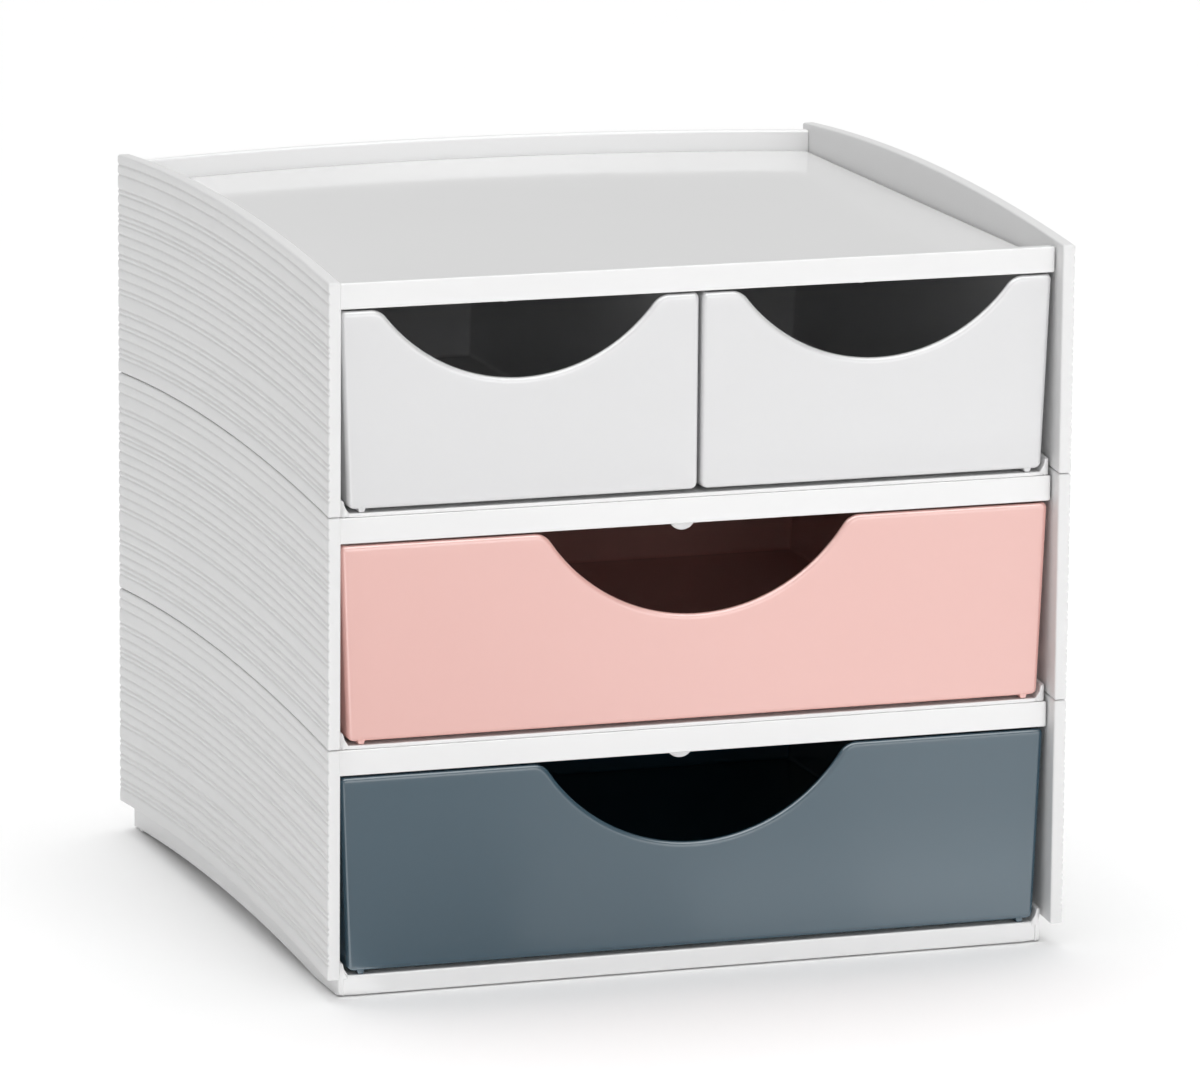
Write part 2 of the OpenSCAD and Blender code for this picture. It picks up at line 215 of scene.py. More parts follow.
def skin(loops):
    """Closed skin over loops (m, k, 3) with an even k: quads join each loop to the next, and quads
    that pair a loop's i-th point with its i-th from last close both ends. Its faces are turned to
    point outwards."""
    m, k = loops.shape[:2]
    i, j = np.meshgrid(np.arange(m - 1), np.arange(k), indexing="ij")
    after = (j + 1) % k
    walls = np.stack([i * k + j, i * k + after, (i + 1) * k + after, (i + 1) * k + j], -1)
    a = np.arange(k // 2 - 1)
    cap = np.stack([a, k - 1 - a, k - 2 - a, a + 1], -1)
    quads = np.concatenate([walls.reshape(-1, 4), cap, cap[:, ::-1] + (m - 1) * k])
    points = loops.reshape(-1, 3)
    p, q, r, s = np.moveaxis(points[quads] - points.mean(0), 1, 0)
    volume = (p * np.cross(q, r) + p * np.cross(r, s)).sum()
    return points, quads if volume > 0 else quads[:, ::-1]


def bar(corners, radii, place, depth, lay, steps=ARC_STEPS):
    """Skin of an anticlockwise outline carried along a path. corners is (n, 2), or (m, n, 2) where
    the outline changes along it; lay(outline points, place) gives the points in the row frame."""
    outline = np.broadcast_to(corners, (len(place),) + np.shape(corners)[-2:])
    radii = np.maximum(np.asarray(radii)[None, :] - depth[:, None], LEAST_R)
    return skin(lay(rounded(inset(outline, depth), radii, steps), place[:, None]))


def along_x(yz, x):
    """Outline in (Y, Z) at place x."""
    return np.stack([np.broadcast_to(x, yz.shape[:-1]), yz[..., 0], yz[..., 1]], -1)


def along_y(xz, y):
    """Outline in (X, Z) at place y."""
    return np.stack([xz[..., 0], np.broadcast_to(y, xz.shape[:-1]), xz[..., 1]], -1)


def along_bow(rz, x):
    """Outline in (radius, Z) at place x on the bow of the back: y = centre + sqrt(radius^2 - x^2)."""
    y = BACK_CENTRE + np.sqrt(rz[..., 0] ** 2 - x**2)
    return np.stack([np.broadcast_to(x, y.shape), y, rz[..., 1]], -1)


def ring_stack(x, y, z, r, count):
    """Rings of count points round an upright axis, one for each height z with its radius r."""
    a = (np.arange(count) + 0.5) / count * 2 * np.pi
    across, back = r[:, None] * np.sin(a), r[:, None] * np.cos(a)
    return skin(np.stack([x + across, y + back, np.broadcast_to(z[:, None], across.shape)], -1))


def mirrored(part):
    """The same skin on the other side of the unit, with its faces turned back outwards."""
    points, quads = part
    return points * [-1, 1, 1], quads[:, ::-1]


def moulding(name, skins, body, material):
    """One object that holds the skins, stands for the CAD node of that name and rides on a body."""
    starts = np.cumsum([0] + [len(points) for points, _ in skins])
    points = np.concatenate([points for points, _ in skins])
    quads = np.concatenate([quads + start for (_, quads), start in zip(skins, starts)])
    mesh = bpy.data.meshes.new(name + "_skin")
    mesh.from_pydata(points, [], quads)
    mesh.polygons.foreach_set("use_smooth", np.ones(len(mesh.polygons), bool))
    mesh.set_sharp_from_angle(angle=SHARP_ANGLE)
    mesh.materials.append(material)
    piece = bpy.data.objects.new(name + "_moulding", mesh)
    bpy.context.scene.collection.objects.link(piece)
    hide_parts(name)
    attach(piece, body)


# ---- side panels ----

# Widths of the ribs from the top edge down, in equal shares of a level
RIB_SHARES = (2, 2, 3, 1, 2, 2, 1, 1, 2, 2, 2, 1, 2, 2, 2, 1, 3, 1, 2, 1, 2, 2, 1, 1, 3)
RIB_CROWN = 0.06 * MM
GROOVE_DEEP = 0.22 * MM
GROOVE_WIDE = 0.36 * MM
# Where the points across a groove stand, from its middle
GROOVE_ACROSS = np.array([-0.6, -0.45, -0.32, -0.2, -0.1, 0, 0.1, 0.2, 0.32, 0.45, 0.6]) * MM
MERGE_DECIMALS = 8  # heights that are the same in metres to this many decimals merge
PANEL_EDGE_R = 0.5 * MM
PANEL_END_R = 0.45 * MM


def rib_section():
    """Heights up a side panel, with how far its outer face and both edges draw in at each height.

    A rib between two grooves is crowned: its face draws in by RIB_CROWN*s^2, where s runs from -1
    to 1 across it. Each groove adds GROOVE_DEEP*exp(-(distance/GROOVE_WIDE)^2). The edges are
    quarter circles.
    """
    grooves = PANEL_H + SEAM / 2 - np.cumsum(RIB_SHARES) * LEVEL_H / sum(RIB_SHARES)
    grooves = grooves[:-1][::-1]
    bounds = np.concatenate([[0], grooves, [PANEL_H]])
    crowns = (bounds[1:] + bounds[:-1]) / 2
    heights = np.concatenate([(grooves[:, None] + GROOVE_ACROSS).ravel(), crowns])
    inner = (heights > PANEL_EDGE_R + HOLD) & (heights < PANEL_H - PANEL_EDGE_R - HOLD)
    heights = np.unique(np.round(heights[inner], MERGE_DECIMALS))
    a = quarter()
    turn_up = PANEL_EDGE_R * (1 - np.cos(a))
    turn_in = PANEL_EDGE_R * (1 - np.sin(a))
    end = [turn_in[0] + HOLD]
    t = np.concatenate([[0], turn_up, heights, PANEL_H - turn_up[::-1], [PANEL_H]])
    edge = np.concatenate([end, turn_in, 0 * heights, turn_in[::-1], end])
    rib = np.clip(np.searchsorted(bounds, t, "right") - 1, 0, len(bounds) - 2)
    width = bounds[rib + 1] - bounds[rib]
    s = (2 * t - bounds[rib] - bounds[rib + 1]) / width
    distance = np.abs(t[:, None] - grooves).min(1)
    carve = RIB_CROWN * s**2 + GROOVE_DEEP * np.exp(-((distance / GROOVE_WIDE) ** 2))
    return t, edge, carve


def side_panel(level, hand):
    """Panel whose ribs follow its arch: at depth y a point of the section stands at
    panel foot + arch(y) + t."""
    t, edge, carve = rib_section()
    y, depth = stations(FRONT_Y, PANEL_REAR_Y, PANEL_END_R, ARCH_PLACES)
    depth = depth[:, None]
    outer = OUTER_X - carve - edge - depth
    inner = INNER_X + edge + depth
    up = depth + t * (1 - 2 * depth / PANEL_H) + panel_foot(level) + arch(y)[:, None]
    x = np.concatenate([outer, inner[:, ::-1]], 1)
    z = np.concatenate([up, up[:, ::-1]], 1)
    part = skin(along_y(np.stack([x, z], -1), y[:, None]))
    return part if hand == RIGHT else mirrored(part)


# ---- back panels ----

BACK_EDGE_R = 0.7 * MM
BOW_END_R = 0.2 * MM
FOOT_T, FOOT_H, FOOT_HALF = 2.5 * MM, 4.0 * MM, 70 * MM
LEDGE_T, LEDGE_H, LEDGE_HALF = 2.0 * MM, 1.5 * MM, 60 * MM


def bowed_bar(inner_r, outer_r, low, high, half, edge_r=EDGE_R):
    """Bar between two radii and two heights that follows the bow of the back."""
    corners = np.array([(inner_r, low), (outer_r, low), (outer_r, high), (inner_r, high)])
    return bar(corners, [edge_r] * 4, *stations(-half, half, BOW_END_R, BOW_PLACES), along_bow)


def back_panel(level):
    """Bowed panel, the foot inside it that stands on the base, and the ledge that the shelf lies on.
    The foot is two bars: the lower one stands clear of the rim of the panel below, and the upper one
    joins the foot to its own panel."""
    low = base_low(level) + RIM_H + SEAM
    high = shelf_top(level) + RIM_H
    foot = base_low(level) + FLOOR_H
    ledge = shelf_top(level) - PLATE_T
    foot_r = BACK_INNER_R - FOOT_T
    buried = BACK_INNER_R + BACK_T / 4
    return [
        bowed_bar(BACK_INNER_R, BACK_R, low, high, INNER_X - END_GAP / 2, BACK_EDGE_R),
        bowed_bar(foot_r, BACK_INNER_R - NEST_GAP, foot, foot + FOOT_H, FOOT_HALF),
        bowed_bar(foot_r, buried, low, foot + FOOT_H, FOOT_HALF),
        bowed_bar(BACK_INNER_R - LEDGE_T, buried, ledge - LEDGE_H, ledge, LEDGE_HALF),
    ]


# ---- shelves and tray ----

BAND_GAP = 0.42 * MM  # beside a front band, to the side panels
BAND_HALF = INNER_X - BAND_GAP
BAND_END_R = 0.6 * MM
STOP_W, STOP_T, STOP_BACK = 7 * MM, 1.6 * MM, 12 * MM
STOP_DROP, HALF_STOP_DROP = 4.2 * MM, 2.4 * MM
STOP_PLACES, STOP_STEPS = 3, 12


def along_plate(yz, x, rear_r, front_turn=0.0):
    """Outline in (Y, Z) at place x. Its rear points follow the bow, and its front ones are turned
    back: y + sqrt(rear_r^2 - x^2) - rear_r where y is over 0, and y + front_turn elsewhere."""
    y = yz[..., 0]
    bow = np.sqrt(rear_r**2 - x**2) - rear_r
    return along_x(np.stack([np.where(y > 0, y + bow, y + front_turn), yz[..., 1]], -1), x)


def along_shelf(yz, x):
    """Outline of a shelf at place x, whose rear follows the inside of the back panel."""
    return along_plate(yz, x, BACK_INNER_R - END_GAP)


def stop_tab(x, level, drop):
    """Round-ended tab that hangs under a shelf, thin from front to back."""
    under = shelf_top(level) - PLATE_T
    corners = rectangle(x - STOP_W / 2, x + STOP_W / 2, under - drop, under + PLATE_T / 2)
    r = STOP_W / 2 - LEAST_R
    y = BAND_Y + STOP_BACK
    place, depth = stations(y, y + STOP_T, EDGE_R, STOP_PLACES)
    return bar(corners, [LEAST_R, r, r, LEAST_R], place, depth, along_y, STOP_STEPS)


def shelf(level):
    """Plate with a front band and lip. Its outline runs along the top from the bowed rear edge, over
    the lip, down the band and back along the underside."""
    top = shelf_top(level)
    under, lip = top - PLATE_T, top + LIP_H
    rear = BACK_CENTRE + BACK_INNER_R - END_GAP
    corners, radii = section(
        (rear, top, 0.3),
        (BAND_Y + BAND_T, top, 0.5),
        (BAND_Y + BAND_T, lip, 0.3),
        (BAND_Y, lip, 0.3),
        (BAND_Y, under, 0.4),
        (rear, under, 0.3),
    )
    place, depth = stations(-BAND_HALF, BAND_HALF, BAND_END_R, SHELF_PLACES)
    plate = bar(corners, radii, place, depth, along_shelf)
    if level == UPPER:
        half_centre = (PAIR_GAP / 2 + DRAWER_HALF) / 2
        tabs = [stop_tab(hand * half_centre, level, HALF_STOP_DROP) for hand in (LEFT, RIGHT)]
        return [plate] + tabs
    return [plate, stop_tab(0, level, STOP_DROP)]


# ---- bases ----

BASE_CORNER_R = 2 * MM
BASE_REAR_R = BACK_INNER_R - NEST_GAP
WALL_Y = BAND_Y + BAND_T + LIP_GAP  # front wall of a base behind the lip that it stands on
STEP_HALF = 0.05 * MM  # half the length over which a flange's underside steps down behind the lip
HORN_TOP_W = 1.3 * MM
GUIDE_W, GUIDE_H = 1.0 * MM, 1.6 * MM
SKIRT_SINK = 0.1 * MM  # top of the rear skirt under the floor's top
RIB_PLACES = (-45 * MM, 0, 45 * MM)
RIB_STEPS, FLANGE_STEPS = 3, 4
RAIL_W, RAIL_BACK, RAIL_END_R = 6 * MM, 12 * MM, 0.5 * MM
BOSS_R, BOSS_POINTS = 7 * MM, 48


def corner_turn(x):
    """How far a base's front corner of radius r has turned back at place x: r - sqrt(r^2 - past^2),
    where past is the distance from the start of the corner."""
    past = np.clip(np.abs(x) - (NEST_X - BASE_CORNER_R), 0, BASE_CORNER_R)
    return BASE_CORNER_R - np.sqrt(BASE_CORNER_R**2 - past**2)


def along_floor(yz, x):
    """Outline of a base's floor at place x, turned back round the front corners."""
    return along_plate(yz, x, BASE_REAR_R, corner_turn(x))


def along_flange(xz, y):
    """Outline in (X, Z) at place y, turned back round the base's front corners. The share that is
    turned falls from 1 at the front to 0 two corner radii behind it."""
    near = np.clip(1 - (y - BAND_Y) / (2 * BASE_CORNER_R), 0, 1)
    return along_y(xz, y + near * corner_turn(xz[..., 0]))


def flange(level):
    """Right-hand guide flange of a base. Its lower edge is the skirt's arch, its upper edge stands
    FLANGE_RISE above the panel's foot, and its inner side slopes from the drawer floor to the top."""
    y, depth = stations(BAND_Y + TUCK, PANEL_REAR_Y - END_GAP, BASE_END_R, ARCH_PLACES)
    floor = base_low(level) + FLOOR_H
    low = np.maximum(base_low(level) + SKIRT_ARCH + arch(y), base_low(level))
    if level != LOWER:
        step = np.searchsorted(y, WALL_Y)
        y = np.insert(y, step, [WALL_Y - STEP_HALF, WALL_Y + STEP_HALF])
        depth = np.insert(depth, step, [0, 0])
        low = np.insert(low, step, [low[step], low[step]])
        low[y < WALL_Y] = base_low(level) + LIP_H + TUCK
    tuck = np.maximum(floor - FLOOR_T / 2, low + BASE_END_R)
    high = panel_foot(level) + FLANGE_RISE + arch(y)
    inner = NEST_X - FLANGE_T
    rows = [
        (NEST_X, low, 0.3),
        (NEST_X, high, 0.4),
        (NEST_X - HORN_TOP_W, high, 0.4),
        (inner, floor + GUIDE_H, 0.5),
        (inner - GUIDE_W, floor, 0.1),
        (inner - GUIDE_W, tuck, 0.1),
        (inner, tuck, 0.1),
        (inner, low, 0.15),
    ]
    sections = np.array([[np.broadcast_to(v, y.shape) for v in row] for row in rows])
    corners, radii = np.moveaxis(sections[:, :2], -1, 0), sections[:, 2, 0] * MM
    return bar(corners, radii, y, depth, along_flange, FLANGE_STEPS)


def boss(x, y, low, high):
    """Round boss: rings of radius BOSS_R stacked up, drawn in at the lower end."""
    z = np.array([low, low + EDGE_R, high])
    r = np.array([BOSS_R - EDGE_R, BOSS_R, BOSS_R])
    return ring_stack(x, y, z, r, BOSS_POINTS)


def base(level):
    """Floor plate with front wall, rear skirt, flanges, ribs and pad bosses. The lowest base has a
    flush front wall, and the others stand behind the lip of the shelf below."""
    low = base_low(level)
    floor = low + FLOOR_H
    plate_low = floor - FLOOR_T
    buried = floor - FLOOR_T / 2
    rear = BACK_CENTRE + BASE_REAR_R
    half = NEST_X - TUCK
    place, depth = stations(-half, half, BASE_END_R, ARCH_PLACES)
    if level == LOWER:
        wall = BAND_Y
        corners, radii = section(
            (rear, floor, 0.3),
            (wall, floor, 0.5),
            (wall, low, 0.4),
            (wall + SKIRT_T, low, 0.3),
            (wall + SKIRT_T, plate_low, 0.3),
            (rear, plate_low, 0.3),
        )
    else:
        wall = WALL_Y
        tip = low + LIP_H + TUCK
        corners, radii = section(
            (rear, floor, 0.3),
            (BAND_Y, floor, 0.3),
            (BAND_Y, tip, 0.3),
            (wall + SKIRT_T, tip, 0.1),
            (wall + SKIRT_T, plate_low, 0.1),
            (rear, plate_low, 0.3),
        )
    parts = [bar(corners, radii, place, depth, along_floor)]
    if level != LOWER:
        front = [(wall + SKIRT_T, buried), (wall, buried), (wall, low), (wall + SKIRT_T, low)]
        parts.append(bar(np.array(front), [EDGE_R] * 4, place, depth, along_x))
    parts.append(bowed_bar(BASE_REAR_R - SKIRT_T, BASE_REAR_R, low, floor - SKIRT_SINK, half))
    side = flange(level)
    parts += [side, mirrored(side)]
    for x in RIB_PLACES:
        stop = BACK_CENTRE + math.sqrt(BASE_REAR_R**2 - x**2) - SKIRT_T / 2
        y, depth = stations(wall + SKIRT_T / 2, stop, EDGE_R)
        rib = rectangle(x - SKIRT_T / 2, x + SKIRT_T / 2, low, buried)
        parts.append(bar(rib, [EDGE_R] * 4, y, depth, along_y, RIB_STEPS))
    for name in PAD_NAMES:
        pad_low, pad_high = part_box(name)
        centre = (pad_low + pad_high) / 2
        parts.append(boss(centre.x, centre.y, max(low, pad_high.z), buried))
    if level == UPPER:
        y, depth = stations(BAND_Y + RAIL_BACK, DRAWER_REAR_Y, RAIL_END_R)
        rail = rectangle(-RAIL_W / 2, RAIL_W / 2, buried, floor + RUNNER_H)
        parts.append(bar(rail, [EDGE_R] * 4, y, depth, along_y))
    return parts


# ---- pads ----

PAD_POINTS = 64


def pad(name):
    """Disc with rounded edges, where the frame has it: rings whose radius and height follow a quarter
    circle."""
    low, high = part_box(name)
    centre, radius = (low + high) / 2, (high.x - low.x) / 2
    t = quarter()
    draw_in, rise = EDGE_R * (1 - np.sin(t)), EDGE_R * (1 - np.cos(t))
    r = radius - np.concatenate([[EDGE_R + HOLD], draw_in, draw_in[::-1], [EDGE_R + HOLD]])
    z = np.concatenate([[low.z], low.z + rise, high.z - rise[::-1], [high.z]])
    return ring_stack(centre.x, centre.y, z, r, PAD_POINTS)


# ---- drawers ----

SIDE_BOTTOM_R = 1.8 * MM
FRONT_BOTTOM_R = 0.9 * MM
INNER_BOTTOM_R = 0.9 * MM
RIM_R = WALL_T / 2
RIM_DROP = 1.35 * MM  # height of the rounding outside the rim
OUTER_CORNER_R = 1.2 * MM
INNER_CORNER_R = 0.5 * MM
SHOULDER_R = 5 * MM
WIDE_SCOOP = (45 * MM, 21.8 * MM)  # radius of the scoop, and how deep it dips
HALF_SCOOP = (42.5 * MM, 18 * MM)
RUNNER_X = DRAWER_HALF - DRAFT - RUNNER_INSET - RUNNER_W / 2
RUNNER_SHORT = 0.3 * MM  # runner inside the front and the rear of its drawer
RUNNER_SPREAD = 0.1 * MM  # each side of a runner's foot past a quarter of its width

DIP_POINTS = 24  # along half a scoop
CREST_POINTS = 13  # along a shoulder
RIM_POINTS = 13  # over the rim, from outside to inside
FLAT_STEPS = 5  # along a flat rim between shoulder and corner
CORNER_STEPS = 6
SIDE_POINTS = 12  # along a side wall
WALL_CLIMB = np.array([0.015, 0.25, 0.5, 0.75, 0.985])  # rings up a wall, in shares of its height


def scoop_rim(radius, deep):
    """Half of a front rim from the middle to the end of its shoulder: distance from the middle, height
    from the top, and the unit normal that points up out of the wall. A round dip of the given radius
    meets a shoulder of SHOULDER_R, where both have the same slope."""
    centre = radius - deep
    shoulder = math.sqrt((radius + SHOULDER_R) ** 2 - (centre + SHOULDER_R) ** 2)
    meet = math.asin(shoulder / (radius + SHOULDER_R))
    dip = (np.arange(DIP_POINTS) + 0.5) / DIP_POINTS * meet
    crest = np.linspace(meet, 0, CREST_POINTS)
    x = np.concatenate([radius * np.sin(dip), shoulder - SHOULDER_R * np.sin(crest)])
    z = np.concatenate([centre - radius * np.cos(dip), SHOULDER_R * (np.cos(crest) - 1)])
    slope = np.concatenate([dip, crest])
    return x, z, -np.sin(slope), np.cos(slope)


def wall_rows():
    """How the rings of a drawer climb its walls: share of the way up, inset, depth of the rim's centre
    under its top, height over that centre, share of the bottom rounding still to come inwards and
    upwards, which rings are inside, and an extra inset for the rings that keep the floors flat.

    Rows: the flat underside, a quarter circle up to the outer wall, the wall, over the rim by a
    quarter ellipse RIM_DROP tall and a quarter circle, the inner wall, a quarter circle down to the
    inside floor, and that floor.
    """
    a, climb = quarter(), WALL_CLIMB
    over = np.linspace(-np.pi / 2, np.pi / 2, RIM_POINTS)
    flat_a, flat_c, flat_o = np.zeros_like(a), np.zeros_like(climb), np.zeros_like(over)
    rim_in = RIM_R * (1 + np.sin(over))
    near_in, near_up = 1 - np.sin(a), 1 - np.cos(a)
    up = np.concatenate([[0], flat_a, climb, flat_o + 1, climb[::-1], flat_a, [0]])
    wall = np.concatenate([[0], flat_a, flat_c, rim_in, flat_c + WALL_T, flat_a + WALL_T, [WALL_T]])
    inside = np.arange(len(up)) > 1 + len(a) + len(climb) + len(over) // 2
    drop = np.where(inside, RIM_R, RIM_DROP)
    lift = drop * np.concatenate([[0], flat_a, flat_c, np.cos(over), flat_c, flat_a, [0]])
    draw_in = np.concatenate([[1], near_in, flat_c, flat_o, flat_c, near_in[::-1], [1]])
    rise = np.concatenate([[0], near_up, flat_c + 1, flat_o + 1, flat_c + 1, near_up[::-1], [0]])
    extra = np.concatenate([[HOLD], np.zeros(len(up) - 2), [HOLD]])
    return [v[:, None] for v in (up, wall, drop, lift, draw_in, rise, inside, extra)]


def drawer_shell(left, right, draft_left, draft_right, low, top, scoop):
    """Open drawer as one skin of rings. Down each half, a ring runs along the front wall, round the
    corner, along the side wall, round the rear corner and along the rear wall. A front point stands at
    (1 - up)*bottom + up*(rim - drop*normal) + lift*normal, and the side and rear ones at the same with
    a flat rim. The side walls slope in by their drafts from the top down, and the front and rear walls
    end where they do."""
    middle = (left + right) / 2
    curve_x, z, nx, nz = scoop_rim(*scoop)
    share = np.linspace(0, 1, FLAT_STEPS + 1)[1:]
    z, nx, nz = (np.concatenate([v, end + 0 * share]) for v, end in ((z, 0), (nx, 0), (nz, 1)))
    up, wall, drop, lift, draw_in, rise, inside, extra = wall_rows()
    floor = np.where(inside, low + WALL_T, low)
    side_r = np.where(inside, INNER_BOTTOM_R, SIDE_BOTTOM_R)
    end_r = np.where(inside, INNER_BOTTOM_R, FRONT_BOTTOM_R)
    side_in = wall + draw_in * side_r + extra
    end_in = wall + draw_in * end_r + extra
    lean = ((lift - up * drop) * nx)[:, : len(curve_x)]
    front_z = (floor + rise * end_r) * (1 - up) + up * (top + z - drop * nz) + lift * nz
    side_z = (floor + rise * side_r) * (1 - up) + up * (top - drop) + lift
    end_z = (floor + rise * end_r) * (1 - up) + up * (top - drop) + lift
    corner_r = np.interp(side_in, [0, WALL_T], [OUTER_CORNER_R, INNER_CORNER_R])

    a = quarter(CORNER_STEPS)
    turn_out, turn_back = corner_r * (1 - np.sin(a)), corner_r * (1 - np.cos(a))
    front, rear = BAND_Y + end_in, DRAWER_REAR_Y - end_in
    first, last = front + corner_r + HOLD, rear - corner_r - HOLD
    along = first + np.linspace(0, 1, SIDE_POINTS) * (last - first)
    corner_z = end_z + (side_z - end_z) * np.sin(a) ** 2

    def half(hand, edge, draft):
        """Points of the rings on one hand of the middle, from the front round to the rear."""
        face = edge - hand * (side_in + draft * (top - side_z) / (top - low))
        reach = hand * (face - middle) - corner_r - HOLD
        x = np.concatenate([curve_x + 0 * up, curve_x[-1] + share * (reach - curve_x[-1])], 1)
        leaning = np.concatenate([curve_x + lean, x[:, len(curve_x) :]], 1)
        px = [
            middle + hand * leaning,
            face - hand * turn_out,
            face + 0 * along,
            face - hand * turn_back,
            middle + hand * x[:, ::-1],
        ]
        py = [front + 0 * x, front + turn_back, along, rear - turn_out, rear + 0 * x]
        pz = [front_z, corner_z, side_z + 0 * along, corner_z[:, ::-1], end_z + 0 * x]
        return np.stack([np.concatenate(p, 1) for p in (px, py, pz)], -1)

    right_half = half(RIGHT, right, draft_right)
    left_half = half(LEFT, left, draft_left)
    return skin(np.concatenate([right_half, left_half[:, ::-1]], 1))


def runner(x, low):
    """Ridge under a drawer, with sloped sides and rounded ends, tucked into the drawer's bottom."""
    y, depth = stations(BAND_Y + RUNNER_SHORT, DRAWER_REAR_Y - RUNNER_SHORT, EDGE_R)
    w = RUNNER_W / 2
    corners, radii = section(
        (x - w, low + w / 2, 0.1),
        (x - w / 2 - RUNNER_SPREAD, low - RUNNER_H, 0.25),
        (x + w / 2 + RUNNER_SPREAD, low - RUNNER_H, 0.25),
        (x + w, low + w / 2, 0.1),
    )
    return bar(corners, radii, y, depth, along_y)


def drawer_heights(level):
    """Height of the bottom of a level's drawers, over their runners, and height of their rim."""
    low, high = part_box(LEVEL_NAMES[level] + "_drawer" if level != UPPER else "upper_right_drawer")
    return low.z + RUNNER_H, high.z


def wide_drawer(level):
    """Full-width drawer with a runner near each side."""
    low, top = drawer_heights(level)
    shell = drawer_shell(-DRAWER_HALF, DRAWER_HALF, DRAFT, DRAFT, low, top, WIDE_SCOOP)
    return [shell, runner(RUNNER_X, low), runner(-RUNNER_X, low)]


def half_drawer(hand):
    """Half-width drawer, upright beside its twin, with one runner near its outer side."""
    low, top = drawer_heights(UPPER)
    shell = drawer_shell(PAIR_GAP / 2, DRAWER_HALF, 0, DRAFT, low, top, HALF_SCOOP)
    parts = [shell, runner(RUNNER_X, low)]
    return parts if hand == RIGHT else [mirrored(part) for part in parts]


# ---- materials ----

PLASTIC_IOR = 1.55
SPECKS = 0.1  # strength of the specks
HAIRLINES = 0.1  # strength of the hairlines


def node_group(name, inputs, outputs):
    """Empty shader node group with named sockets: inputs are (name, kind, default), outputs are
    (name, kind)."""
    group = bpy.data.node_groups.new(name, "ShaderNodeTree")
    for label, kind, default in inputs:
        socket = group.interface.new_socket(label, in_out="INPUT", socket_type="NodeSocket" + kind)
        if default is not None:
            socket.default_value = default
    for label, kind in outputs:
        group.interface.new_socket(label, in_out="OUTPUT", socket_type="NodeSocket" + kind)
    return group, group.nodes.new("NodeGroupInput"), group.nodes.new("NodeGroupOutput")


def add(tree, kind, **settings):
    """New node with its properties set, and its inputs set by name or number where settings has a
    dict of them."""
    node = tree.nodes.new("ShaderNode" + kind)
    inputs = settings.pop("inputs", {})
    for key, value in settings.items():
        setattr(node, key, value)
    for key, value in inputs.items():
        node.inputs[key].default_value = value
    return node


def moulded_wall_group():
    """Faint unevenness of a moulded wall, for the height of a bump: slow noise, mixed with fine noise
    by the grain share."""
    inputs = [
        ("Vector", "Vector", None),
        ("Sink size", "Float", 30.0),
        ("Grain size", "Float", 900.0),
        ("Grain share", "Float", None),
    ]
    group, given, out = node_group("moulded_wall", inputs, [("Height", "Float")])
    link = group.links.new
    sink = add(group, "TexNoise", inputs={"Detail": 1.0, "Roughness": 0.4})
    grain = add(group, "TexNoise", inputs={"Detail": 2.0, "Roughness": 0.6})
    mix = add(group, "Mix", data_type="FLOAT")
    link(given.outputs["Vector"], sink.inputs["Vector"])
    link(given.outputs["Sink size"], sink.inputs["Scale"])
    link(given.outputs["Vector"], grain.inputs["Vector"])
    link(given.outputs["Grain size"], grain.inputs["Scale"])
    link(given.outputs["Grain share"], mix.inputs["Factor"])
    link(sink.outputs["Fac"], mix.inputs["A"])
    link(grain.outputs["Fac"], mix.inputs["B"])
    link(mix.outputs["Result"], out.inputs["Height"])
    return group


def resin_tint_group():
    """Colour of the resin: cloudy mixing of a lighter and a darker shade by slow noise, with sparse
    fine specks of the darker one near the middles of small cells."""
    inputs = [
        ("Vector", "Vector", None),
        ("Light", "Color", None),
        ("Dark", "Color", None),
        ("Cloud size", "Float", 18.0),
        ("Specks", "Float", SPECKS),
    ]
    group, given, out = node_group("resin_tint", inputs, [("Color", "Color")])
    link = group.links.new
    cloud = add(group, "TexNoise", inputs={"Detail": 4.0, "Roughness": 0.55})
    spread = add(group, "MapRange", inputs={"From Min": 0.3, "From Max": 0.7})
    fleck = add(group, "TexVoronoi", feature="F1", inputs={"Scale": 420.0})
    fade = {"From Min": 0.05, "From Max": 0.12, "To Min": 1.0, "To Max": 0.0}
    near = add(group, "MapRange", inputs=fade)
    share = add(group, "Math", operation="MULTIPLY")
    shade = add(group, "Mix", data_type="RGBA")
    speckled = add(group, "Mix", data_type="RGBA")
    link(given.outputs["Vector"], cloud.inputs["Vector"])
    link(given.outputs["Cloud size"], cloud.inputs["Scale"])
    link(cloud.outputs["Fac"], spread.inputs["Value"])
    link(given.outputs["Vector"], fleck.inputs["Vector"])
    link(fleck.outputs["Distance"], near.inputs["Value"])
    link(near.outputs["Result"], share.inputs[0])
    link(given.outputs["Specks"], share.inputs[1])
    link(spread.outputs["Result"], shade.inputs["Factor"])
    link(given.outputs["Dark"], shade.inputs["A"])
    link(given.outputs["Light"], shade.inputs["B"])
    link(share.outputs["Value"], speckled.inputs["Factor"])
    link(shade.outputs["Result"], speckled.inputs["A"])
    link(given.outputs["Dark"], speckled.inputs["B"])
    link(speckled.outputs["Result"], out.inputs["Color"])
    return group


